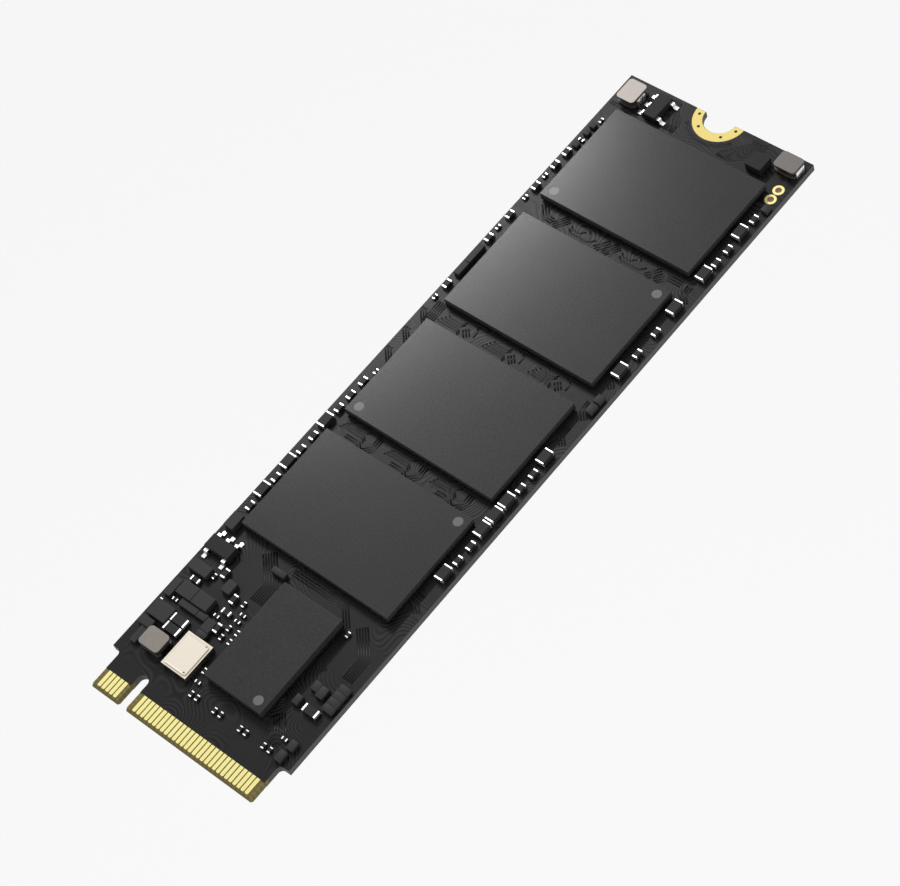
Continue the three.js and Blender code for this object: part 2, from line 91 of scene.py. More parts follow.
# ---- Crystal, inductors and regulators ----------------------------------------------------------
CASE_ROUNDING = 0.05
LID_CORNER, LID_RIM, LID_ROUNDING = 0.25, 0.12, 0.008
LID_FLAT = 3                    # the lid's flat middle has more area than this, in square mm
SUNK_STEP, SUNK_DEPTH = 0.02, 0.01
WELD_INSET = 0.28               # from the side of the lid
WELD_FAR = (0.13, 0.1)          # from the far end of the lid, and radius
WELD_NEAR = (0.14, 0.13)
WELD_SINK, WELD_RISE = 0.03, 0.005
# Number, core finish, terminal finish. The first inductor's terminals take the dark solder finish:
# painted shade.
INDUCTORS = ((1, "ferrite", "fillet"), (2, "ferrite_bright", "tin"), (3, "ferrite_dark", "tin"))
CORE_ROUNDING = 0.05
FLANGE = 0.33                   # thickness of an inductor's top flange
TERMINAL_WIDTH, TERMINAL_OUT, TERMINAL_IN = 1.2, 0.06, 0.1
TERMINAL_DROP, TERMINAL_ROUNDING = 0.3, 0.03

# Frame node, piece, finish, slot, rounding.
REGULATOR_PARTS = (("moulding", "body", "lead_chip", "chip_moulding", 0.04),
                   ("lead_frame", "leads", "tin", "tin_plate", 0.02))

# ---- Small parts --------------------------------------------------------------------------------
LARGE_CAPACITORS = [f"capacitor_{i}" for i in range(1, 13)]

# Plain moulded chips. Name: x, y, size along x, size along y, height.
PLAIN_CHIPS = {
    "slim_chip_1": (-7.48, -29.27, 2.19, 0.70, 0.50),
    "slim_chip_2": (-5.76, -29.27, 1.15, 0.70, 0.50),
    "middle_chip_1": (-4.58, -29.68, 1.05, 1.30, 0.55),
    "middle_chip_2": (-4.54, -30.66, 1.10, 0.62, 0.50),
    "corner_chip": (-9.52, -33.95, 0.70, 1.70, 0.50),
    "edge_chip": (-10.17, -28.52, 0.80, 1.99, 0.50),
    "lone_chip": (-2.73, -22.01, 1.60, 0.60, 0.60),
    "right_chip_1": (7.83, -28.59, 0.80, 0.95, 0.50),
    "right_chip_2": (8.68, -28.80, 0.85, 1.15, 0.55),
    "right_chip_3": (7.23, -30.51, 0.70, 1.00, 0.50),
    "right_chip_4": (9.85, -34.10, 0.75, 1.00, 0.50),
    "right_chip_5": (9.65, -35.40, 0.75, 1.10, 0.50),
    "stack_chip_1": (10.15, -27.49, 1.15, 0.715, 0.50),
    "stack_chip_2": (10.15, -28.21, 1.15, 0.715, 0.50),
    "stack_chip_3": (10.15, -28.93, 1.15, 0.715, 0.50),
    "stack_chip_4": (10.15, -29.65, 1.15, 0.715, 0.50),
    "upper_edge_chip": (10.45, 33.30, 0.75, 0.85, 0.50),
    "pair_edge_chip_1": (10.36, 8.10, 0.76, 0.94, 0.55),
    "pair_edge_chip_2": (10.36, 6.93, 0.76, 1.10, 0.55),
    "left_edge_chip_1": (-10.13, 32.85, 0.65, 0.60, 0.45),
    "left_edge_chip_2": (-10.13, 31.85, 0.65, 0.60, 0.45),
    "left_edge_chip_3": (-10.13, 30.16, 0.65, 0.60, 0.45),
}

# Chips that the frame already holds, with the side their terminals are on.
FRAME_CHIPS = {
    "power_manager": "x", "load_switch": "y", "converter_1": "y", "converter_2": "y",
    "temperature_sensor": "y", "voltage_supervisor": "x", "signal_buffer": "x",
    "edge_array_1": "x", "edge_array_2": "x", "tantalum_capacitor": "y",
}

CHIP_LIFT, CHIP_ROUNDING = 0.04, 0.035
CHIP_PAD_PITCH, CHIP_PAD_WIDTH, CHIP_PAD_HEIGHT = 0.55, 0.22, 0.14
CHIP_PAD_IN, CHIP_PAD_OUT = 0.16, 0.02

# Ceramic capacitors with their end caps at the two x ends: x, y, length, width.
CROSS_CAPACITORS = [(-7.2, -30.79, 1.76, 0.92), (-7.2, -31.80, 1.76, 0.92),
                    (9.01, -30.69, 1.64, 0.84)]
CROSS_HEIGHT = 0.6
LARGE_GAP = 0.08                # a large capacitor is this much shorter than its frame node

# Length of an end cap, thickness of its plating and length of the solder fillet at its foot.
LARGE_ENDS = (0.17, 0.02, 0.03)
CROSS_ENDS = (0.22, 0.02, 0.04)
SMALL_ENDS = (0.17, 0.015, 0.04)
TINY_ENDS = (0.12, 0.01, 0.03)
SMALL_SIZE = (1.0, 0.54, 0.5)   # length, width, height
TINY_SIZE = (0.6, 0.32, 0.3)
PART_LIFT = 0.02
END_ROUNDING = 0.015
FILLET_INSET = 0.02             # a fillet is this much narrower than its part on each side
FILLET_RISE = 0.45              # how far up the end cap it climbs, as a share of the height
FILLET_SLOPE, FILLET_TAPER = 0.9, 0.9

# Middles of the small ceramic parts, along and across the card.
SMALL_ALONG = [
    (-4.49, -26.37), (-6.98, -24.83), (-3.74, -29.37),
    *[(10.20, y) for y in (31.73, 27.69, 25.87, 16.72, 13.92, -1.34, -3.13, -10.22, -12.01)],
    *[(-10.34, y) for y in (28.96, 27.16, 24.17, 20.16, 16.97, 10.63)],
    *[(-9.92, y) for y in (-2.19, -3.98, -5.68, -9.32, -11.06, -14.65, -18.24)],
]
SMALL_ACROSS = [(-8.92, -26.87), (-4.14, -27.72)]

# Middles of the tiny parts, along and across the card.
TINY_ALONG = [
    (-3.41, -26.20), (-7.76, -25.58), (-2.91, -28.75), (-1.92, -28.70), (-2.91, -29.81),
    (-1.92, -29.74), (-10.35, -30.24), (-1.87, -33.16), (6.67, -23.15), (-9.90, 33.81),
    (-10.45, 25.67), (-10.45, 22.63), (-10.45, 18.46), (-10.45, 8.92), (-9.70, -0.64),
    *[(x, -35.49) for x in (-1.30, -0.59, 1.60, 2.35, 4.75, 5.45, 7.62, 8.37)],
]
TINY_ACROSS = [
    (-2.73, -27.07), (-2.73, -27.82), (-4.77, -28.47), (-9.23, -29.37), (-1.62, -34.31),
    (8.74, -33.96), (-10.13, 30.94),
]

# ---- Camera, lights and floor -------------------------------------------------------------------
SENSOR = 36
LENS = 104.914
CAMERA_PLACE = (118.278, -74.608, 196.373)
CAMERA_TURN = (33.0813, 12.3126, 40.3226)

# A bright dome, a broad soft light from behind, and a narrow strip light high at the far left that
# lays a soft gleam over the package tops.
OVERHEAD_FROM = (-0.4, 0.64, 0.65)
OVERHEAD_STRENGTH = 0.63
OVERHEAD_SPREAD = 30
DOME_STRENGTH = 0.93
STRIP_PLACE = (-145.3, 93.1, 167.9)
STRIP_ALONG = (0.177, 0.984, 0)
STRIP_WIDTH = 4
STRIP_LENGTH = 80
STRIP_POWER = 0.272
FLOOR_SIZE, FLOOR_DROP = 12000, 500


# ---- Colours and nodes --------------------------------------------------------------------------

def linear(code):
    """A colour code as the linear numbers that a shader reads."""
    parts = [int(code[i:i + 2], 16) / 255 for i in (1, 3, 5)]
    return [p / 12.92 if p <= 0.04045 else ((p + 0.055) / 1.055) ** 2.4 for p in parts]


def colour_of(code):
    """A colour code, or the name of one of the card's colours, as linear red, green, blue and one."""
    if code.startswith("#"):
        return (*linear(code), 1.0)
    return (*getattr(bpy.context.scene.card_colours, code), 1.0)


def add_node(tree, kind, settings=None, inputs=None):
    """Adds a node, sets its properties, and sets or links its inputs."""
    made = tree.nodes.new(kind)
    for name, value in (settings or {}).items():
        setattr(made, name, value)
    for name, value in (inputs or {}).items():
        if isinstance(value, bpy.types.NodeSocket):
            tree.links.new(value, made.inputs[name])
        else:
            made.inputs[name].default_value = value
    return made


def new_finish(name, **settings):
    """An empty material with its surface shader, and Object coordinates in millimetres."""
    finish = bpy.data.materials.new(name)
    finish.use_nodes = True
    tree = finish.node_tree
    tree.nodes.clear()
    shader = add_node(tree, "ShaderNodeBsdfPrincipled", inputs=settings)
    add_node(tree, "ShaderNodeOutputMaterial", inputs={"Surface": shader.outputs[0]})
    place = add_node(tree, "ShaderNodeTexCoord")
    grid = add_node(tree, "ShaderNodeMapping", inputs={"Vector": place.outputs["Object"],
                                                       "Scale": (1000, 1000, 1000)})
    return finish, tree, shader, grid.outputs[0]


def cover(tree, shader, shade, gloss, bump):
    """Gives the surface shader its colour, roughness and relief."""
    tree.links.new(shade.outputs[2], shader.inputs["Base Color"])
    tree.links.new(gloss.outputs[0], shader.inputs["Roughness"])
    tree.links.new(bump.outputs[0], shader.inputs["Normal"])


def solder_mask_finish():
    """Cured solder mask: a thin black epoxy film, satin, that follows the traces under it and has
    faint dust and unevenness."""
    finish, tree, shader, place = new_finish("black_solder_mask", **{"Specular IOR Level": 0.145})
    cloud = add_node(tree, "ShaderNodeTexNoise", inputs={"Vector": place, "Scale": 0.35, "Detail": 4})
    grain = add_node(tree, "ShaderNodeTexNoise", inputs={"Vector": place, "Scale": 5, "Detail": 3})
    gloss = add_node(tree, "ShaderNodeMapRange", inputs={"Value": grain.outputs[0], 3: 0.33, 4: 0.41})
    # Fine traces a few tenths of a millimetre apart wander in patches and lift the film slightly.
    flow = add_node(tree, "ShaderNodeTexNoise", inputs={"Vector": place, "Scale": 0.14, "Detail": 1})
    turns = add_node(tree, "ShaderNodeMath", {"operation": "MULTIPLY"}, {0: flow.outputs[0], 1: 270})
    lines = add_node(tree, "ShaderNodeMath", {"operation": "SINE"}, {0: turns.outputs[0]})
    patch = add_node(tree, "ShaderNodeTexNoise", inputs={"Vector": place, "Scale": 0.3, "Detail": 0})
    shown = add_node(tree, "ShaderNodeMapRange", inputs={"Value": patch.outputs[0], 1: 0.4, 2: 0.55})
    relief = add_node(tree, "ShaderNodeMath", {"operation": "MULTIPLY"},
                      {0: lines.outputs[0], 1: shown.outputs[0]})
    # The mask's colour is lighter along the crests of the traces and darker between them, where the film
    # is thinner and thicker, and this also stands in as painted shade of the ridges.
    tint = add_node(tree, "ShaderNodeMath", {"operation": "ADD"},
                    {0: relief.outputs[0], 1: cloud.outputs[0]})
    share = add_node(tree, "ShaderNodeMapRange", inputs={"Value": tint.outputs[0], 1: -0.5, 2: 1.5})
    shade = add_node(tree, "ShaderNodeMix", {"data_type": "RGBA"},
                     {0: share.outputs[0], 6: colour_of("mask"), 7: colour_of("mask_light")})
    ripple = add_node(tree, "ShaderNodeBump", inputs={"Height": relief.outputs[0], "Strength": 1,
                                                      "Distance": 0.0025 * MM})
    bump = add_node(tree, "ShaderNodeBump", inputs={"Height": grain.outputs[0], "Strength": 0.25,
                                                    "Distance": 0.02 * MM,
                                                    "Normal": ripple.outputs[0]})
    cover(tree, shader, shade, gloss, bump)
    return finish


def laminate_finish():
    """Glass and epoxy laminate: olive and milky where it is bare, with the weave of the glass cloth
    showing, and grey with faint layers on its sawn edge."""
    finish, tree, shader, place = new_finish("glass_epoxy_laminate", **{"Specular IOR Level": 0.2})
    # The cloth has about two threads to the millimetre.
    warp, weft = [add_node(tree, "ShaderNodeTexWave", {"bands_direction": way},
                           {"Vector": place, "Scale": 0.62, "Distortion": 0.4}) for way in "XY"]
    weave = add_node(tree, "ShaderNodeMath", {"operation": "MULTIPLY"},
                     {0: warp.outputs["Fac"], 1: weft.outputs["Fac"]})
    faces = add_node(tree, "ShaderNodeMix", {"data_type": "RGBA"},
                     {0: weave.outputs[0], 6: colour_of("laminate"),
                      7: colour_of("laminate_light")})
    layers = add_node(tree, "ShaderNodeTexWave", {"bands_direction": "Z"},
                      {"Vector": place, "Scale": 2.4, "Distortion": 2, "Detail Scale": 0.6})
    sawn = add_node(tree, "ShaderNodeMix", {"data_type": "RGBA"},
                    {0: layers.outputs["Fac"], 6: colour_of("laminate_edge"),
                     7: colour_of("laminate_edge_light")})
    cross = add_node(tree, "ShaderNodeSeparateXYZ", inputs={"Vector": place})
    # The plug end is bare laminate all round, from just inside the edge of the mask.
    bare = add_node(tree, "ShaderNodeMath", {"operation": "LESS_THAN"},
                    {0: cross.outputs["Y"], 1: BARE_END})
    shade = add_node(tree, "ShaderNodeMix", {"data_type": "RGBA"},
                     {0: bare.outputs[0], 6: sawn.outputs[2], 7: faces.outputs[2]})
    grit = add_node(tree, "ShaderNodeTexNoise", inputs={"Vector": place, "Scale": 9, "Detail": 3})
    gloss = add_node(tree, "ShaderNodeMapRange", inputs={"Value": grit.outputs[0], 3: 0.4, 4: 0.75})
    bump = add_node(tree, "ShaderNodeBump", inputs={"Height": grit.outputs[0], "Strength": 0.3,
                                                    "Distance": 0.03 * MM})
    cover(tree, shader, shade, gloss, bump)
    return finish


def gold_finish():
    """Hard gold plating over nickel: pale yellow and satin, softly brushed along the card by
    plugging in."""
    finish, tree, shader, place = new_finish("hard_gold_plating", **{"Metallic": 0.6})
    streaks = add_node(tree, "ShaderNodeMapping", inputs={"Vector": place, "Scale": (14, 0.8, 4)})
    brushed = add_node(tree, "ShaderNodeTexNoise", inputs={"Vector": streaks.outputs[0], "Scale": 1,
                                                           "Detail": 4})
    shade = add_node(tree, "ShaderNodeMix", {"data_type": "RGBA"},
                     {0: brushed.outputs[0], 6: colour_of("gold"), 7: colour_of("gold_light")})
    gloss = add_node(tree, "ShaderNodeMapRange",
                     inputs={"Value": brushed.outputs[0], 3: 0.42, 4: 0.58})
    bump = add_node(tree, "ShaderNodeBump", inputs={"Height": brushed.outputs[0], "Strength": 0.15,
                                                    "Distance": 0.02 * MM})
    cover(tree, shader, shade, gloss, bump)
    return finish


def moulding_finish(name, dark, light, grain=6.5, low=0.17, high=0.22, strength=0.17,
                    specular=0.25):
    """Moulded or fired body: filled with fine silica or ceramic powder, so a fine even grain. The
    grain is coarser than the powder, which is too fine to see."""
    finish, tree, shader, place = new_finish(name, **{"Specular IOR Level": specular})
    fine = add_node(tree, "ShaderNodeTexNoise", inputs={"Vector": place, "Scale": grain, "Detail": 5,
                                                        "Roughness": 0.65})
    cloud = add_node(tree, "ShaderNodeTexNoise", inputs={"Vector": place, "Scale": 0.25, "Detail": 2})
    both = add_node(tree, "ShaderNodeMath", {"operation": "MULTIPLY_ADD"},
                    {0: cloud.outputs[0], 1: 0.2, 2: fine.outputs[0]})
    share = add_node(tree, "ShaderNodeMapRange", inputs={"Value": both.outputs[0], 1: 0.4, 2: 0.8})
    shade = add_node(tree, "ShaderNodeMix", {"data_type": "RGBA"},
                     {0: share.outputs[0], 6: colour_of(dark), 7: colour_of(light)})
    gloss = add_node(tree, "ShaderNodeMapRange", inputs={"Value": fine.outputs[0], 1: 0.3, 2: 0.7,
                                                         3: low, 4: high})
    bump = add_node(tree, "ShaderNodeBump", inputs={"Height": fine.outputs[0], "Strength": strength,
                                                    "Distance": 0.02 * MM})
    cover(tree, shader, shade, gloss, bump)
    return finish


def clouded_finish(name, dark, light, grain=4.0, low=0.3, high=0.5, metallic=1.0, specular=0.5):
    """Plated, reflowed or fired surface: cloudy and slightly grainy, duller in patches."""
    finish, tree, shader, place = new_finish(name, **{"Metallic": metallic,
                                                      "Specular IOR Level": specular})
    cloud = add_node(tree, "ShaderNodeTexNoise",
                     inputs={"Vector": place, "Scale": grain, "Detail": 4})
    shade = add_node(tree, "ShaderNodeMix", {"data_type": "RGBA"},
                     {0: cloud.outputs[0], 6: colour_of(dark), 7: colour_of(light)})
    gloss = add_node(tree, "ShaderNodeMapRange", inputs={"Value": cloud.outputs[0], 1: 0.3, 2: 0.7,
                                                         3: low, 4: high})
    bump = add_node(tree, "ShaderNodeBump", inputs={"Height": cloud.outputs[0], "Strength": 0.2,
                                                    "Distance": 0.03 * MM})
    cover(tree, shader, shade, gloss, bump)
    return finish


def floor_finish():
    """Matt paper sheet, slightly mottled."""
    finish, tree, shader, place = new_finish("matt_paper", **{"Roughness": 0.9,
                                                              "Specular IOR Level": 0.1})
    cloud = add_node(tree, "ShaderNodeTexNoise", inputs={"Vector": place, "Scale": 0.002, "Detail": 2})
    colour = bpy.context.scene.card_colours.floor
    shade = add_node(tree, "ShaderNodeMix", {"data_type": "RGBA"},
                     {0: cloud.outputs[0], 6: (*colour, 1.0),
                      7: (*[c * 0.997 for c in colour], 1.0)})
    tree.links.new(shade.outputs[2], shader.inputs["Base Color"])
    return finish


WHOLE_FINISHES = {"mask": solder_mask_finish, "laminate": laminate_finish, "gold": gold_finish,
                  "paper": floor_finish}

# Moulded bodies. Name: material, dark and light colour, settings.
MOULDED_FINISHES = {
    # Spark-eroded mould texture: a soft gleam with fine grain.
    "moulding": ("black_moulding_compound", "moulding", "moulding_light", {}),
    # Sides cut by the saw: rough, so they stay dull beside the tops.
    "moulded_side": ("sawn_moulding_side", "#292929", "#333333", {"low": 0.5, "high": 0.6}),
    # Pressed by a polished pin: smoother than the top round it, and painted paler as a painted sheen for
    # the gleam of the polish.
    "dot": ("polished_mould_mark", "dot", "dot_light", {"strength": 0.05}),
    # Small chips have a coarse, dull body.
    "chip": ("small_chip_moulding", "chip", "chip_light",
             {"low": 0.45, "high": 0.55, "specular": 0.12}),
    "lead_chip": ("matt_chip_moulding", "lead_chip", "lead_chip_light",
                  {"low": 0.4, "high": 0.5, "specular": 0.06}),
    # Fired capacitor ceramic: dark and nearly matt.
    "ceramic_body": ("barium_titanate_ceramic", "capacitor", "capacitor_light",
                     {"grain": 5.0, "low": 0.35, "high": 0.55, "strength": 0.2, "specular": 0.08}),
    # Lacquered glass and resin board that a package is built on.
    "substrate": ("resin_substrate", "substrate", "substrate_light", {"grain": 3.0}),
    "quartz": ("quartz_blank", "#D5E0E2", "#E4EDEE", {"low": 0.05, "high": 0.15, "strength": 0.05}),
}

# Metals and fired parts. Name: material, dark and light colour, settings.
CLOUDED_FINISHES = {
    # Ground and polished wafer: a blue-grey mirror.
    "silicon": ("polished_silicon", "#4C4F57", "#6D7078",
                {"low": 0.1, "high": 0.2, "metallic": 0.6}),
    # Solder and plating coloured dark grey: painted shade, for metal in the shade of its part.
    "fillet": ("dull_solder_fillet", "#363636", "#505050", {"low": 0.35}),
    # Crystal case: its sides are coloured dark brown, darker than its top.
    "crystal_side": ("dark_brown_ceramic", "#2E2A20", "#3D382B", {"metallic": 0.0}),
    # Copper and thin plating down the wall of a hole.
    "barrel": ("plated_barrel", "#8E6A58", "#B08C78", {"metallic": 0.5}),
    # Immersion gold is thinner and flatter than the hard gold of the contacts.
    "land_gold": ("immersion_gold", "#C7B464", "#D0BE6C",
                  {"low": 0.4, "metallic": 0.0, "specular": 0.25}),
    # Electroplated tin: nearly white and softly shining.
    "tin": ("matt_tin_plating", "tin", "tin_light", {}),
    "solder": ("reflowed_solder", "#A8AAAC", "#D5D6D6", {"low": 0.2, "high": 0.4}),
    # Fired and ground ferrite: warm grey, dull. The three inductors come from different lots.
    "ferrite_bright": ("silvered_ferrite", "#8F8780", "#9F978F", {"low": 0.35, "metallic": 0.0}),
    "ferrite": ("grey_ferrite", "#635D57", "#756E68", {"low": 0.35, "metallic": 0.0}),
    "ferrite_dark": ("dark_grey_ferrite", "#4E4945", "#5E5853", {"low": 0.35, "metallic": 0.0}),
    # Below the top flange and on the sides of a core: darker bare ferrite, darkened further as painted
    # shade.
    "ferrite_base_and_shade": ("bare_ferrite", "#2B2826", "#373330",
                     {"low": 0.5, "high": 0.6, "metallic": 0.0}),
    "copper_wire": ("enamelled_copper_wire", "#6A3417", "#9A5A2E", {"grain": 2.0}),
    "weld": ("tarnished_weld", "#3A2414", "#553820", {"metallic": 0.0}),
    # Plated nickel alloy: a pale warm sheen without a mirror.
    "lid": ("plated_lid", "#C4BBAD", "#CDC4B7", {"low": 0.4, "high": 0.55, "metallic": 0.2}),
}
FINISHES = {}


def finish(name):
    """The named finish, made when it is first asked for."""
    if name not in FINISHES:
        if name in WHOLE_FINISHES:
            FINISHES[name] = WHOLE_FINISHES[name]()
        elif name in MOULDED_FINISHES:
            material, dark, light, settings = MOULDED_FINISHES[name]
            FINISHES[name] = moulding_finish(material, dark, light, **settings)
        else:
            material, dark, light, settings = CLOUDED_FINISHES[name]
            FINISHES[name] = clouded_finish(material, dark, light, **settings)
    return FINISHES[name]


# ---- Making and shaping -------------------------------------------------------------------------

def only(piece):
    """Leaves one object selected and active."""
    bpy.ops.object.select_all(action="DESELECT")
    piece.select_set(True)
    bpy.context.view_layer.objects.active = piece


def settle(piece, name):
    """Names a new primitive and puts its place into its mesh."""
    piece.name = piece.data.name = name
    only(piece)
    bpy.ops.object.transform_apply(location=True, rotation=True, scale=True)
    return piece


def block(name, low, high):
    """A cube stretched between two corners, ready for shaping."""
    bpy.ops.object.select_all(action="DESELECT")
    middle = [(a + b) / 2 * MM for a, b in zip(low, high)]
    bpy.ops.mesh.primitive_cube_add(size=1, location=middle)
    piece = bpy.context.active_object
    piece.scale = [(b - a) * MM for a, b in zip(low, high)]
    return settle(piece, name)


def disc(name, x, y, low, high, radius, sides=24):
    """An upright cylinder, ready for shaping."""
    bpy.ops.object.select_all(action="DESELECT")
    bpy.ops.mesh.primitive_cylinder_add(vertices=sides, radius=radius * MM, depth=(high - low) * MM,
                                        location=(x * MM, y * MM, (low + high) / 2 * MM))
    return settle(bpy.context.active_object, name)


def shape(piece, kind, test, operator, **settings):
    """Selects the verts, edges or faces that pass a test and runs one edit-mode operator on them."""
    only(piece)
    bpy.ops.object.mode_set(mode="EDIT")
    bpy.context.tool_settings.mesh_select_mode = [kind == k for k in ("verts", "edges", "faces")]
    bpy.ops.mesh.select_all(action="DESELECT")
    mesh = bmesh.from_edit_mesh(piece.data)
    for part in getattr(mesh, kind):
        part.select_set(bool(test(part)))
    mesh.select_flush_mode()
    bmesh.update_edit_mesh(piece.data)
    operator(**settings)
    bpy.ops.object.mode_set(mode="OBJECT")
    return piece


def middle_of(part):
    """The middle of an edge or face, in millimetres."""
    total = Vector()
    for corner in part.verts:
        total += corner.co
    return total / len(part.verts) / MM


def cut(piece, point, normal):
    """Cuts a new loop of edges round the piece where a plane crosses it."""
    return shape(piece, "faces", lambda f: True, bpy.ops.mesh.bisect,
                 plane_co=[p * MM for p in point], plane_no=normal)


def apply_modifier(piece, kind, **settings):
    only(piece)
    modifier = piece.modifiers.new(kind.title(), kind)
    for name, value in settings.items():
        setattr(modifier, name, value)
    bpy.ops.object.modifier_apply(modifier=modifier.name)
    return piece


def soften(piece, radius, segments=2, angle=30):
    """Rounds the sharp edges and smooths over them, with the flat faces kept flat."""
    apply_modifier(piece, "BEVEL", width=radius * MM, segments=segments, limit_method="ANGLE",
                   angle_limit=math.radians(angle), harden_normals=False)
    only(piece)
    bpy.ops.object.shade_smooth_by_angle(angle=math.radians(angle))
    return apply_modifier(piece, "WEIGHTED_NORMAL", keep_sharp=True)


def dress(piece, *names):
    """Gives the piece its finishes, one slot each."""
    piece.data.materials.clear()
    for name in names:
        piece.data.materials.append(finish(name))
    return piece


def paint(piece, slot, test):
    """Puts a finish's slot on the faces that pass a test of their middle and normal."""
    for face in piece.data.polygons:
        if test(face.center / MM, face.normal):
            face.material_index = slot
    return piece


def copy_of(piece, name, x=0.0, y=0.0, turn=0.0, z=0.0):
    """A copy with its own mesh, turned about the upright and moved."""
    made = piece.copy()
    made.data = piece.data.copy()
    made.name = made.data.name = name
    bpy.context.collection.objects.link(made)
    made.data.transform(Matrix.Translation((x * MM, y * MM, z * MM))
                        @ Matrix.Rotation(math.radians(turn), 4, "Z"))
    return made


def merged(name, parts):
    """Joins parts into one piece."""
    bpy.ops.object.select_all(action="DESELECT")
    for part in parts:
        part.select_set(True)
    bpy.context.view_layer.objects.active = parts[0]
    if len(parts) > 1:
        bpy.ops.object.join()
    parts[0].name = parts[0].data.name = name
    return parts[0]


def discard(*parts):
    for part in parts:
        bpy.data.objects.remove(part)


def mount(piece, slot, *nodes):
    """Fixes a finished piece to the card and hides the frame nodes it stands for. The slot is not used.
    """
    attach(piece, "root")
    if nodes:
        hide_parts(*nodes)
    return piece


def merged_copy(node, name):
    """A copy of a frame node with its loose triangles merged into plain faces."""
    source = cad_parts[node]
    piece = source.copy()
    piece.data = source.data.copy()
    piece.name = piece.data.name = name
    piece.parent = None
    for key in list(piece.keys()):
        del piece[key]
    bpy.context.collection.objects.link(piece)
    only(piece)
    bpy.ops.mesh.customdata_custom_splitnormals_clear()
    shape(piece, "verts", lambda v: True, bpy.ops.mesh.remove_doubles, threshold=1e-7)
    shape(piece, "faces", lambda f: True, bpy.ops.mesh.dissolve_limited, angle_limit=math.radians(1))
    return piece


def corners(node):
    low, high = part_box(node)
    return low / MM, high / MM


# ---- Pieces -------------------------------------------------------------------------------------

class DRIVE_OT_board(bpy.types.Operator):
    """Finishes the bare card: laminate, copper, solder mask and the plated holes"""
    bl_idname = "drive.board"
    bl_label = "Board"

    def execute(self, context):
        for node, name in (("board_core", "laminate"), ("top_copper", "gold"),
                           ("bottom_copper", "gold"), ("top_solder_mask", "mask"),
                           ("bottom_solder_mask", "mask")):
            dress(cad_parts[node], name)
        for node, name in (("mounting_ring", "mounting_land"), ("test_hole_1", "plated_hole_1"),
                           ("test_hole_2", "plated_hole_2")):
            piece = merged_copy(node, name)
            soften(piece, PLATING_ROUNDING, 1, 40)
            dress(piece, "land_gold" if node == "mounting_ring" else "gold", "barrel")
            paint(piece, 1, lambda c, n: abs(n.z) < 0.3)
            mount(piece, "gold_plate", node)
        return {"FINISHED"}


def moulded_package(name, low, high, dot):
    """A block of moulding compound with rounded edges and a shallow round mark pressed in its top."""
    body = block(name, low, high)
    apply_modifier(body, "BEVEL", width=PACKAGE_ROUNDING * MM, segments=3)
    x, y = (low[0] + high[0]) / 2 + dot[0], (low[1] + high[1]) / 2 + dot[1]
    floor = high[2] - DOT_DEPTH
    tool = disc("mark_tool", x, y, floor, high[2] + TOOL_CLEAR, DOT_RADIUS, 40)
    apply_modifier(body, "BOOLEAN", object=tool, operation="DIFFERENCE", solver="EXACT")
    discard(tool)
    dress(body, "moulding", "dot", "moulded_side")
    paint(body, 2, lambda c, n: n.z < 0.97)
    # The mark takes the paler finish, a painted sheen.
    return paint(body, 1, lambda c, n: n.z > 0.9 and abs(c.z - floor) < 0.003)


def solder_ball(radius, low, high):
    """One reflowed ball, flattened on both pads and widest at half its height."""
    middle = (low + high) / 2
    ball = disc("ball", 0, 0, low, high, radius * PAD_SHARE, 10)
    cut(ball, (0, 0, middle), (0, 0, 1))
    shape(ball, "verts", lambda v: abs(v.co.z / MM - middle) < 0.01, bpy.ops.transform.resize,
          value=(1 / PAD_SHARE, 1 / PAD_SHARE, 1))
    only(ball)
    bpy.ops.object.shade_smooth_by_angle(angle=math.radians(60))
    return ball


def offset_path(path, distance):
    """A path beside another one, at a steady distance from it."""
    points = [Vector(p) for p in path]
    steps = [(b - a).normalized() for a, b in zip(points, points[1:])]
    sides = [Vector((-s.y, s.x)) for s in steps]
    made = []
    for i, point in enumerate(points):
        before, after = sides[max(i - 1, 0)], sides[min(i, len(sides) - 1)]
        both = (before + after).normalized()
        made.append(point + both * distance / max(both.dot(after), 0.4))
    return made


def bundle(path, count, pitch):
    """Several traces side by side, the first on the path."""
    return [offset_path(path, i * pitch) for i in range(count)]


def arcs(x, y, radii, first, last, steps=10):
    """Traces that turn together round one point."""
    made = []
    for radius in radii:
        turn = [math.radians(first + (last - first) * i / steps) for i in range(steps + 1)]
        made.append([Vector((x + radius * math.cos(a), y + radius * math.sin(a))) for a in turn])
    return made


def level_stack(x, y, count, pitch, length, lean, rise):
    """Level runs one above another, whose far ends turn off at 45 degrees."""
    made = []
    for k in range(count):
        left, right, up = x + lean * k, x + length, y + pitch * k
        made.append([(left - 0.3, up + 0.12 * rise), (left, up), (right, up),
                     (right + 0.4, up + 0.4 * (1 if k * 2 >= count else -1))])
    return made


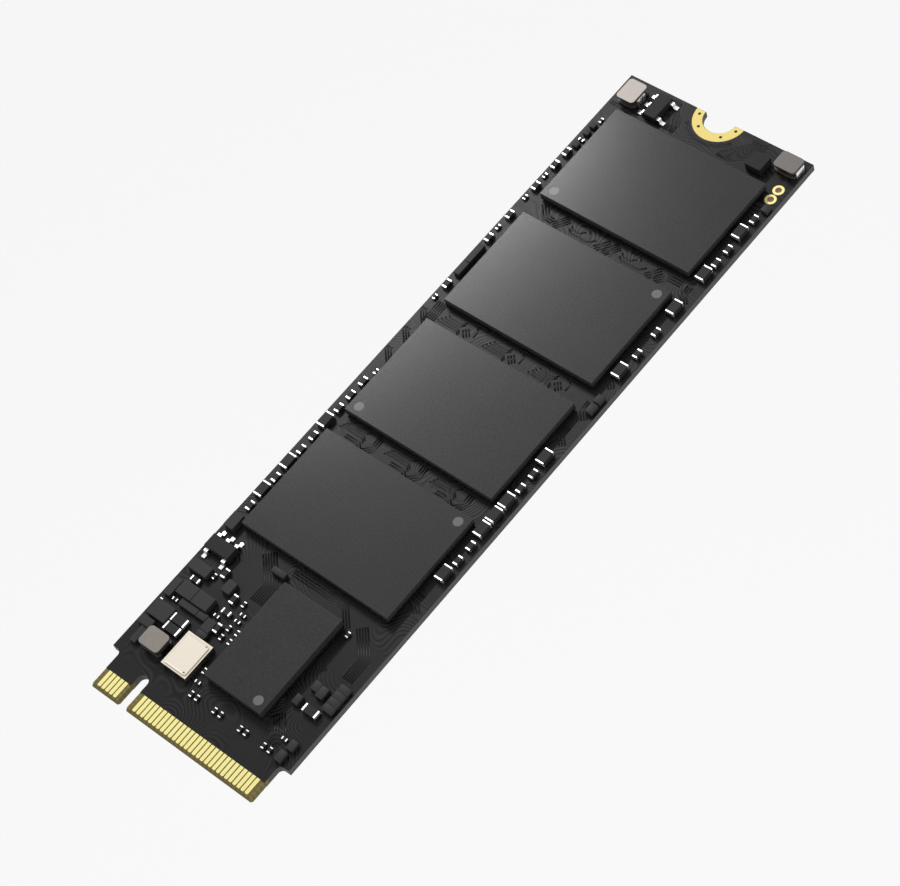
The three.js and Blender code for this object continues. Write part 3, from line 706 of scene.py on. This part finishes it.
def trace_paths():
    """Where the covered traces show between the parts."""
    made = []
    # Between the memory packages: the same block of runs three times over.
    for x in (-8.4, -2.8, 2.8):
        made += level_stack(x, 7.05, 4, 0.29, 2.2, 0.24, 1)
        made += [[(x + 4.05, 7.3), (x + 4.05, 8.1), (x + 3.7, 8.45)]]
        made += bundle([(x + 2.6, 7.5), (x + 3.3, 6.8)], 3, 0.28)
        made += bundle([(x + 3.3, 8.75), (x + 4.3, 8.75)], 2, -0.28)
        made += level_stack(x - 0.1, -6.9, 3, 0.29, 2.5, 0.2, -1)
        made += bundle([(x + 3.0, -7.9), (x + 3.7, -7.2), (x + 3.7, -6.0)], 3, -0.28)
        made += bundle([(x + 0.8, -7.35), (x + 2.5, -7.35), (x + 3.0, -7.85)], 2, -0.28)
    made += bundle([(-8.9, 8.9), (-8.9, 6.3)], 5, -0.25)
    for x in (-4.15, 2.0):
        made += [[(x - 0.3, 22.4), (x, 22.05), (x + 0.9, 22.05), (x + 1.4, 22.5)],
                 [(x - 0.3, 22.0), (x + 0.1, 21.65), (x + 2.2, 21.65), (x + 2.8, 22.2)]]
        made += bundle([(x - 1.7, 21.2), (x - 0.6, 22.6)], 4, 0.26)
        made += bundle([(x + 3.4, 21.2), (x + 4.5, 22.5)], 3, 0.3)
        made += [[(x + 0.4, 22.9), (x + 1.5, 22.9), (x + 1.9, 22.5)]]
    made += bundle([(-8.6, 22.9), (-7.3, 21.6), (-6.4, 21.6)], 3, 0.28)
    made += bundle([(6.4, 21.2), (7.3, 22.1), (8.8, 22.1)], 3, 0.28)
    # Beside the mounting notch.
    made += bundle([(-3.1, 36.2), (-3.1, 37.6), (-4.4, 38.9), (-4.4, 39.6)], 7, 0.25)
    made += bundle([(2.3, 36.2), (2.3, 36.9), (4.5, 39.1), (4.5, 39.6)], 7, -0.25)
    made += arcs(0, 40, (3.15, 3.4), 215, 325, 18)
    # Round the controller: bundles that follow each other's bends.
    made += bundle([(6.0, -23.5), (6.0, -26.6), (6.8, -27.4)], 4, 0.23)
    made += bundle([(6.0, -33.6), (6.0, -32.0), (6.6, -31.4)], 4, 0.23)
    made += bundle([(-5.6, -21.3), (-3.4, -23.5), (-3.4, -25.4)], 6, 0.25)
    made += bundle([(6.8, -22.2), (9.0, -24.4), (9.0, -26.6)], 5, 0.25)
    made += bundle([(6.9, -32.0), (8.6, -33.7), (8.6, -35.0)], 5, -0.25)
    made += bundle([(-1.9, -21.4), (4.4, -21.4), (5.9, -22.9)], 3, 0.26)
    # The margins beside the packages.
    for y in (7.6, 5.0, 2.4):
        made += bundle([(-10.8, y), (-10.8, y - 0.5), (-9.6, y - 1.7)], 3, 0.25)
    for y in (22.6, 11.6, 7.6, 4.4, -16.2):
        made += bundle([(9.35, y), (9.35, y - 1.2), (10.2, y - 2.05)], 3, 0.26)
    made += bundle([(-10.7, 36.4), (-9.4, 36.4), (-7.9, 36.1)], 2, -0.26)
    return made


def via_places():
    """Where covered vias show between the parts."""
    made = [(x + step, y) for x in (-8.4, -2.8, 2.8)
            for step, y in ((2.75, 7.0), (3.1, 8.0), (4.9, 7.2))]
    made += [(x, -7.3) for x in (-5.6, -5.0, 0.0, 0.6, 5.6, 6.3, 7.0)]
    made += [(x, 22.4) for x in (-6.0, -1.4, -0.8, 0.4, 5.4, 6.0)]
    made += [(x, -34.6) for x in (-0.9, 2.0, 6.0, 6.6)]
    made += [(x, -36.6) for x in (-8.4, -1.2, 1.9, 5.2)]
    made += [(5.9, y) for y in (-27.6, -28.3, -29.0)] + [(9.2, y) for y in (-22.1, -25.4, -32.9)]
    made += [(x, 36.45) for x in (-0.9, 0.2, 1.3)] + [(5.2, 36.3)]
    return made


class DRIVE_OT_traces(bpy.types.Operator):
    """Raises the traces and vias that show through the solder mask, and plugs the vias of the land"""
    bl_idname = "drive.traces"
    bl_label = "Traces"

    def execute(self, context):
        sizes = context.scene.card_sizes
        width, height = sizes.trace_width, sizes.trace_height
        ridge = bpy.data.curves.new("ridge", "CURVE")
        ridge.dimensions = "2D"
        section = ridge.splines.new("POLY")
        outline = [(-width / 2, -TRACE_SINK * MM), (-width / 2, 0), (-width / 8, height),
                   (width / 8, height), (width / 2, 0), (width / 2, -TRACE_SINK * MM)]
        section.points.add(len(outline) - 1)
        for point, (across, up) in zip(section.points, outline):
            point.co = (across, up, 0, 1)
        section.use_cyclic_u = True
        profile = bpy.data.objects.new("ridge", ridge)
        context.collection.objects.link(profile)
        runs = bpy.data.curves.new("covered_traces", "CURVE")
        runs.dimensions = "3D"
        runs.twist_mode = "Z_UP"
        runs.bevel_mode, runs.bevel_object, runs.use_fill_caps = "OBJECT", profile, True
        for path in trace_paths():
            line = runs.splines.new("POLY")
            line.points.add(len(path) - 1)
            for point, place in zip(line.points, path):
                point.co = (place[0] * MM, place[1] * MM, BOARD_TOP * MM, 1)
        piece = bpy.data.objects.new("covered_traces", runs)
        context.collection.objects.link(piece)
        only(piece)
        bpy.ops.object.convert(target="MESH")
        piece = context.active_object
        bpy.data.objects.remove(profile)
        shape(piece, "verts", lambda v: True, bpy.ops.mesh.remove_doubles, threshold=1e-7)
        shape(piece, "faces", lambda f: True, bpy.ops.mesh.normals_make_consistent, inside=False)
        dress(piece, "mask")
        mount(piece, "solder_mask")

        pad = disc("pad", 0, 0, BOARD_TOP - VIA_SINK, BOARD_TOP + height / MM, VIA_RADIUS, 12)
        shape(pad, "faces", lambda f: f.normal.z > 0.9, bpy.ops.mesh.inset, thickness=VIA_RIM * MM)
        shape(pad, "faces", lambda f: f.normal.z > 0.9 and len(f.verts) == 12, bpy.ops.mesh.inset,
              thickness=VIA_SLOPE * MM, depth=-VIA_DIMPLE * MM)
        vias = [copy_of(pad, "via", x, y) for x, y in via_places()]
        discard(pad)
        piece = merged("covered_vias", vias)
        dress(piece, "mask")
        mount(piece, "solder_mask")

        plug = disc("plug", 0, 0, BOARD_TOP - PLUG_DEPTH, BOARD_TOP + PLUG_RISE, PLUG_RADIUS, 16)
        soften(plug, PLUG_ROUNDING, 1)
        plugs = []
        for degrees in PLUG_ANGLES:
            angle = math.radians(degrees)
            plugs.append(copy_of(plug, "plug", PLUG_CIRCLE * math.sin(angle),
                                 CARD_END - PLUG_CIRCLE * math.cos(angle)))
        discard(plug)
        piece = merged("land_via_plugs", plugs)
        dress(piece, "mask")
        mount(piece, "solder_mask")
        return {"FINISHED"}


class DRIVE_OT_packages(bpy.types.Operator):
    """Builds the four memory packages and the controller"""
    bl_idname = "drive.packages"
    bl_label = "Packages"

    def execute(self, context):
        low, high = corners("flash_1_moulding")
        middle = (low + high) / 2 * Vector((1, 1, 0))
        master = moulded_package("memory_master", low - middle, high - middle, FLASH_DOT)
        for node, turn in zip(FLASH_NAMES, FLASH_TURNS):
            low, high = corners(f"{node}_moulding")
            piece = copy_of(master, f"{node}_package", (low.x + high.x) / 2, (low.y + high.y) / 2, turn)
            mount(piece, "moulding", f"{node}_moulding")
        discard(master)
        low, high = corners("controller_moulding")
        mount(moulded_package("controller_package", low, high, CONTROLLER_DOT), "moulding",
              "controller_moulding")
        for node in FLASH_NAMES + ["controller"]:
            for part, name in (("substrate", "substrate"), ("die_stack", "silicon"), ("die", "silicon")):
                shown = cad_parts.get(f"{node}_{part}")
                if shown:
                    dress(shown, name)
        return {"FINISHED"}


class DRIVE_OT_solder_balls(bpy.types.Operator):
    """Sets the grid of solder balls under every package"""
    bl_idname = "drive.solder_balls"
    bl_label = "Solder balls"

    def execute(self, context):
        sizes = context.scene.card_sizes
        for node in FLASH_NAMES + ["controller"]:
            small = node == "controller"
            pitch = (sizes.controller_ball_pitch if small else sizes.memory_ball_pitch) / MM
            radius, columns, rows = CONTROLLER_BALLS if small else FLASH_BALLS
            low, high = corners(f"{node}_substrate")
            ball = solder_ball(radius, BOARD_TOP - BALL_SINK, low.z + BALL_SINK)
            apply_modifier(ball, "ARRAY", count=columns, use_relative_offset=False,
                           use_constant_offset=True, constant_offset_displace=(pitch * MM, 0, 0))
            apply_modifier(ball, "ARRAY", count=rows, use_relative_offset=False,
                           use_constant_offset=True, constant_offset_displace=(0, pitch * MM, 0))
            piece = copy_of(ball, f"{node}_solder_balls",
                            (low.x + high.x) / 2 - pitch * (columns - 1) / 2,
                            (low.y + high.y) / 2 - pitch * (rows - 1) / 2)
            discard(ball)
            dress(piece, "solder")
            mount(piece, "tin_plate")
        return {"FINISHED"}


class DRIVE_OT_crystal(bpy.types.Operator):
    """Builds the crystal: its ceramic case and plated lid"""
    bl_idname = "drive.crystal"
    bl_label = "Crystal"

    def execute(self, context):
        case = merged_copy("crystal_case", "crystal_tub")
        soften(case, CASE_ROUNDING, 2)
        dress(case, "crystal_side", "lid")
        paint(case, 1, lambda c, n: n.z > 0.5)
        mount(case, "ceramic", "crystal_case")
        low, high = corners("crystal_lid")
        lid = block("crystal_cover", low, high)
        shape(lid, "edges", lambda e: abs(e.verts[0].co.z - e.verts[1].co.z) > 0.05 * MM,
              bpy.ops.mesh.bevel, offset=LID_CORNER * MM, segments=4, affect="EDGES")
        shape(lid, "faces", lambda f: f.normal.z > 0.9, bpy.ops.mesh.inset, thickness=LID_RIM * MM)
        shape(lid, "faces", lambda f: f.normal.z > 0.9 and f.calc_area() > LID_FLAT * MM * MM,
              bpy.ops.mesh.inset, thickness=SUNK_STEP * MM, depth=-SUNK_DEPTH * MM)
        soften(lid, LID_ROUNDING, 1)
        marks = [disc("weld", high.x - WELD_INSET, y, high.z - WELD_SINK, high.z + WELD_RISE, radius,
                      12)
                 for y, radius in ((high.y - WELD_FAR[0], WELD_FAR[1]),
                                   (low.y + WELD_NEAR[0], WELD_NEAR[1]))]
        for mark in marks:
            shape(mark, "faces", lambda f: f.normal.z > 0.9, bpy.ops.mesh.inset,
                  thickness=SUNK_STEP * MM, depth=-SUNK_DEPTH * MM)
            dress(mark, "lid", "weld")
            paint(mark, 1, lambda c, n: True)
        dress(lid, "lid", "weld")
        lid = merged("crystal_cover", [lid, *marks])
        mount(lid, "lid_metal", "crystal_lid")
        dress(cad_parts["crystal_blank"], "quartz")
        return {"FINISHED"}


class DRIVE_OT_inductors(bpy.types.Operator):
    """Builds the three drum inductors with their end terminals"""
    bl_idname = "drive.inductors"
    bl_label = "Inductors"

    def execute(self, context):
        for number, colour, plating in INDUCTORS:
            node = f"inductor_{number}_core"
            low, high = corners(node)
            core = merged_copy(node, f"choke_{number}_core")
            soften(core, CORE_ROUNDING, 2, 40)
            dress(core, colour, "ferrite_base_and_shade")
            # Everything below the top flange, and every side, takes the darker finish: bare ferrite and
            # painted shade.
            paint(core, 1, lambda c, n, top=high.z: c.z < top - FLANGE or abs(n.z) < 0.4)
            mount(core, "ferrite", node)
            dress(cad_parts[f"inductor_{number}_winding"], "copper_wire")
            y, half = (low.y + high.y) / 2, TERMINAL_WIDTH / 2
            ends = []
            for first, last in ((low.x - TERMINAL_OUT, low.x + TERMINAL_IN),
                                (high.x - TERMINAL_IN, high.x + TERMINAL_OUT)):
                plate = block("plate", (first, y - half, BOARD_TOP),
                              (last, y + half, high.z - TERMINAL_DROP))
                soften(plate, TERMINAL_ROUNDING, 2)
                ends.append(plate)
            piece = merged(f"choke_{number}_terminals", ends)
            dress(piece, plating)
            mount(piece, "tin_plate")
        return {"FINISHED"}


class DRIVE_OT_regulators(bpy.types.Operator):
    """Rounds the bodies and the leads of the two regulators"""
    bl_idname = "drive.regulators"
    bl_label = "Regulators"

    def execute(self, context):
        for number in (1, 2):
            for part, name, colour, slot, rounding in REGULATOR_PARTS:
                node = f"regulator_{number}_{part}"
                piece = merged_copy(node, f"regulator_{number}_{name}")
                soften(piece, rounding, 2)
                dress(piece, colour)
                mount(piece, slot, node)
        return {"FINISHED"}


def leadless_chip(name, low, high, side, colour="chip"):
    """A moulded chip on a thin base, with flat terminals along two of its sides."""
    body = block(name, (low[0], low[1], BOARD_TOP + CHIP_LIFT), high)
    soften(body, CHIP_ROUNDING, 2)
    dress(body, colour, "fillet")
    along = 1 if side == "x" else 0
    across = 1 - along
    span = high[along] - low[along]
    count = max(1, int(span / CHIP_PAD_PITCH))
    pads = []
    for i in range(count):
        middle = (low[along] + high[along]) / 2 + (i - (count - 1) / 2) * span / count
        for end, out in ((low[across], -1), (high[across], 1)):
            first, last = [0, 0, BOARD_TOP], [0, 0, BOARD_TOP + CHIP_PAD_HEIGHT]
            first[along], last[along] = middle - CHIP_PAD_WIDTH / 2, middle + CHIP_PAD_WIDTH / 2
            first[across], last[across] = sorted((end - out * CHIP_PAD_IN, end + out * CHIP_PAD_OUT))
            pads.append(block("pad", first, last))
    for pad in pads:
        dress(pad, colour, "fillet")
        # The terminals take the dark solder finish: painted shade, for terminals in the shade of the
        # chip.
        paint(pad, 1, lambda c, n: True)
    return merged(name, [body, *pads])


class DRIVE_OT_chips(bpy.types.Operator):
    """Builds the small moulded chips"""
    bl_idname = "drive.chips"
    bl_label = "Chips"

    def execute(self, context):
        for node, side in FRAME_CHIPS.items():
            low, high = corners(node)
            colour = "lead_chip" if node == "signal_buffer" else "chip"
            mount(leadless_chip(f"{node}_chip", low, high, side, colour), "chip_moulding", node)
        for name, (x, y, wide, long, tall) in PLAIN_CHIPS.items():
            low = (x - wide / 2, y - long / 2, BOARD_TOP)
            high = (x + wide / 2, y + long / 2, BOARD_TOP + tall)
            mount(leadless_chip(name, low, high, "y" if long > wide else "x"), "chip_moulding")
        return {"FINISHED"}


def ceramic_part(name, length, width, height, cap, plating, fillet):
    """A ceramic block along y with plated caps on its ends and a solder fillet at each foot."""
    half, side = length / 2, width / 2
    low, high = BOARD_TOP + PART_LIFT, BOARD_TOP + height
    part = block(name, (-side + plating, -half + plating, low),
                 (side - plating, half - plating, high - plating))
    for end in (-1, 1):
        cut(part, (0, end * (half - cap), 0), (0, 1, 0))
    dress(part, "ceramic_body", "tin", "fillet")

    def on_cap(face):
        return abs(middle_of(face).y) > half - cap
    shape(part, "faces", on_cap, bpy.ops.mesh.extrude_region_shrink_fatten,
          TRANSFORM_OT_shrink_fatten={"value": -plating * MM})
    paint(part, 1, lambda c, n: abs(c.y) > half - cap - 0.001)
    # The end faces of the caps take the dark solder finish: painted shade.
    paint(part, 2, lambda c, n: abs(n.y) > 0.9 and abs(c.y) > half - 0.01)
    soften(part, min(END_ROUNDING, cap / 8), 1)
    foot = []
    for end in (-1, 1):
        wedge = block("fillet", (-side + FILLET_INSET, half - 0.02, BOARD_TOP),
                      (side - FILLET_INSET, half + fillet, BOARD_TOP + height * FILLET_RISE))
        shape(wedge, "verts", lambda v: v.co.z > (BOARD_TOP + 0.05) * MM and v.co.y > half * MM,
              bpy.ops.transform.translate, value=(0, -fillet * FILLET_SLOPE * MM, 0))
        shape(wedge, "verts", lambda v: v.co.z < (BOARD_TOP + 0.05) * MM and v.co.y > half * MM,
              bpy.ops.transform.resize, value=(FILLET_TAPER, 1, 1))
        if end < 0:
            wedge.data.transform(Matrix.Rotation(math.pi, 4, "Z"))
        dress(wedge, "ceramic_body", "tin", "fillet")
        # The whole fillet takes the dark solder finish: painted shade.
        paint(wedge, 2, lambda c, n: True)
        foot.append(wedge)
    return merged(name, [part, *foot])


class DRIVE_OT_large_capacitors(bpy.types.Operator):
    """Builds the large ceramic capacitors in the two edge rows and by the inductor"""
    bl_idname = "drive.large_capacitors"
    bl_label = "Large capacitors"

    def execute(self, context):
        low, high = corners(LARGE_CAPACITORS[0])
        master = ceramic_part("large_master", high.y - low.y - LARGE_GAP, high.x - low.x,
                              high.z - BOARD_TOP, *LARGE_ENDS)
        for node in LARGE_CAPACITORS:
            low, high = corners(node)
            piece = copy_of(master, f"large_{node}", (low.x + high.x) / 2, (low.y + high.y) / 2)
            mount(piece, "capacitor_ceramic", node)
        discard(master)
        for i, (x, y, length, width) in enumerate(CROSS_CAPACITORS):
            master = ceramic_part("cross_master", length, width, CROSS_HEIGHT, *CROSS_ENDS)
            mount(copy_of(master, f"cross_capacitor_{i + 1}", x, y, 90), "capacitor_ceramic")
            discard(master)
        return {"FINISHED"}


class DRIVE_OT_small_capacitors(bpy.types.Operator):
    """Builds the small and the tiny ceramic parts"""
    bl_idname = "drive.small_capacitors"
    bl_label = "Small capacitors"

    def execute(self, context):
        small = ceramic_part("small_master", *SMALL_SIZE, *SMALL_ENDS)
        tiny = ceramic_part("tiny_master", *TINY_SIZE, *TINY_ENDS)
        groups = {"left_edge": lambda x, y: x < -9.5 and y > -22, "right_edge": lambda x, y: x > 9.5,
                  "plug_end": lambda x, y: y < -35, "power_corner": lambda x, y: True}
        made = {name: [] for name in groups}
        for master, places, turn in ((small, SMALL_ALONG, 0), (small, SMALL_ACROSS, 90),
                                     (tiny, TINY_ALONG, 0), (tiny, TINY_ACROSS, 90)):
            for x, y in places:
                name = next(n for n, test in groups.items() if test(x, y))
                made[name].append(copy_of(master, "part", x, y, turn))
        for name, parts in made.items():
            mount(merged(f"{name}_capacitors", parts), "capacitor_ceramic")
        discard(small, tiny)
        return {"FINISHED"}


class DRIVE_OT_stage(bpy.types.Operator):
    """Lays the pale floor, hangs the lights and sets the camera"""
    bl_idname = "drive.stage"
    bl_label = "Stage"

    def execute(self, context):
        scene = context.scene
        bpy.ops.object.select_all(action="DESELECT")
        bpy.ops.mesh.primitive_plane_add(size=FLOOR_SIZE * MM, location=(0, 0, -FLOOR_DROP * MM))
        floor = settle(context.active_object, "floor")
        dress(floor, "paper")

        world = bpy.data.worlds.new("studio")
        scene.world = world
        world.use_nodes = True
        world.node_tree.nodes["Background"].inputs[0].default_value = (1, 1, 1, 1)
        world.node_tree.nodes["Background"].inputs[1].default_value = DOME_STRENGTH

        bpy.ops.object.light_add(type="SUN", rotation=facing(OVERHEAD_FROM).to_euler())
        overhead = context.active_object
        overhead.name = "overhead"
        overhead.data.energy = OVERHEAD_STRENGTH
        overhead.data.angle = math.radians(OVERHEAD_SPREAD)
        overhead.visible_glossy = False

        bpy.ops.object.light_add(type="AREA", location=[c * MM for c in STRIP_PLACE])
        strip = context.active_object
        strip.name = "strip_box"
        strip.data.shape = "RECTANGLE"
        strip.data.size, strip.data.size_y = STRIP_WIDTH * MM, STRIP_LENGTH * MM
        strip.data.energy = STRIP_POWER
        strip.rotation_euler = facing(STRIP_PLACE, STRIP_ALONG).to_euler()

        camera = bpy.data.cameras.new("camera")
        camera.lens = LENS
        camera.sensor_width = SENSOR
        camera.clip_start, camera.clip_end = 0.01, 20
        view = bpy.data.objects.new("camera", camera)
        scene.collection.objects.link(view)
        view.location = [c * MM for c in CAMERA_PLACE]
        view.rotation_euler = [math.radians(a) for a in CAMERA_TURN]
        scene.camera = view
        scene.view_settings.view_transform = "Standard"
        scene.view_settings.look = "None"
        return {"FINISHED"}


def facing(place, along=(0, 1, 0)):
    """The turn of a lamp that stands in that direction, faces the card and is long along a line."""
    back = Vector(place).normalized()
    across = Vector(along).cross(back).normalized()
    return Matrix((across, back.cross(across), back)).transposed()


class CardSizes(bpy.types.PropertyGroup):
    """Sizes that a maker of the card would change"""
    memory_ball_pitch: bpy.props.FloatProperty(
        name="Memory ball pitch", description="Spacing of the solder balls under a memory package",
        default=1.0 * MM, unit="LENGTH")
    trace_width: bpy.props.FloatProperty(
        name="Trace width", description="Width of a covered trace at its foot",
        default=0.18 * MM, unit="LENGTH")
    trace_height: bpy.props.FloatProperty(
        name="Trace height", description="How far a covered trace raises the mask",
        default=0.0045 * MM, unit="LENGTH")
    controller_ball_pitch: bpy.props.FloatProperty(
        name="Controller ball pitch", description="Spacing of the solder balls under the controller",
        default=0.5 * MM, unit="LENGTH")


def colour_property(name, description, code):
    return bpy.props.FloatVectorProperty(name=name, description=description, default=linear(code),
                                         subtype="COLOR", size=3, min=0, max=1)


class CardColours(bpy.types.PropertyGroup):
    """Colours of the card's finishes"""
    mask: colour_property("Mask", "Solder mask", "#060607")
    # The light mask colour lifts the trace crests: partly thin film, partly painted shade of the ridges.
    mask_light: colour_property("Mask, light", "Solder mask where it is thin", "#1D1D1E")
    laminate: colour_property("Laminate", "Bare laminate", "#5C532B")
    laminate_light: colour_property("Laminate, light", "Bare laminate over a thread", "#706639")
    laminate_edge: colour_property("Edge", "Sawn edge of the board", "#3C3C3D")
    laminate_edge_light: colour_property("Edge, light", "Glass layers in the sawn edge", "#515154")
    gold: colour_property("Gold", "Plated contacts", "#CCC27E")
    gold_light: colour_property("Gold, light", "Plated contacts where they are bright", "#D3CA88")
    moulding: colour_property("Moulding", "Package moulding", "#1D1D1D")
    moulding_light: colour_property("Moulding, light", "Package moulding grain", "#2A2A2A")
    # The mark's paler greys are a painted sheen.
    dot: colour_property("Mark", "Pin one mark", "#575757")
    dot_light: colour_property("Mark, light", "Pin one mark grain", "#5F5F5F")
    chip: colour_property("Chip", "Small chip moulding", "#2A2A2B")
    chip_light: colour_property("Chip, light", "Small chip grain", "#2E2E2F")
    lead_chip: colour_property("Leaded chip", "Matt chip moulding", "#232324")
    lead_chip_light: colour_property("Leaded chip, light", "Matt chip grain", "#29292A")
    capacitor: colour_property("Capacitor", "Capacitor ceramic", "#252525")
    capacitor_light: colour_property("Capacitor, light", "Capacitor ceramic grain", "#2C2C2B")
    substrate: colour_property("Substrate", "Package substrate", "#141615")
    substrate_light: colour_property("Substrate, light", "Package substrate grain", "#1E2220")
    tin: colour_property("Tin", "Plated terminals", "#EDEDED")
    tin_light: colour_property("Tin, light", "Plated terminals where they are bright", "#FAFAFA")
    floor: colour_property("Floor", "Paper under the card", "#EFEFEF")


class DRIVE_PT_panel(bpy.types.Panel):
    """Lists the steps that build the card"""
    bl_idname = "DRIVE_PT_panel"
    bl_label = "Drive card"
    bl_space_type = "VIEW_3D"
    bl_region_type = "UI"
    bl_category = "Drive card"

    def draw(self, context):
        layout = self.layout
        for step in STEPS:
            layout.operator(step.bl_idname)
        for group in (context.scene.card_sizes, context.scene.card_colours):
            for name in group.bl_rna.properties.keys():
                if name not in ("rna_type", "name"):
                    layout.prop(group, name)


STEPS = (DRIVE_OT_board, DRIVE_OT_traces, DRIVE_OT_packages, DRIVE_OT_solder_balls,
         DRIVE_OT_crystal, DRIVE_OT_inductors, DRIVE_OT_regulators, DRIVE_OT_chips,
         DRIVE_OT_large_capacitors, DRIVE_OT_small_capacitors, DRIVE_OT_stage)
CLASSES = (CardSizes, CardColours, *STEPS, DRIVE_PT_panel)


def register():
    for kind in CLASSES:
        bpy.utils.register_class(kind)
    bpy.types.Scene.card_sizes = bpy.props.PointerProperty(type=CardSizes)
    bpy.types.Scene.card_colours = bpy.props.PointerProperty(type=CardColours)


def unregister():
    del bpy.types.Scene.card_colours
    del bpy.types.Scene.card_sizes
    for kind in reversed(CLASSES):
        bpy.utils.unregister_class(kind)


def main():
    register()
    for step in STEPS:
        group, operator = step.bl_idname.split(".")
        if getattr(getattr(bpy.ops, group), operator)() != {"FINISHED"}:
            raise RuntimeError(f"{step.bl_label} was not built")


if __name__ == "__main__":
    main()
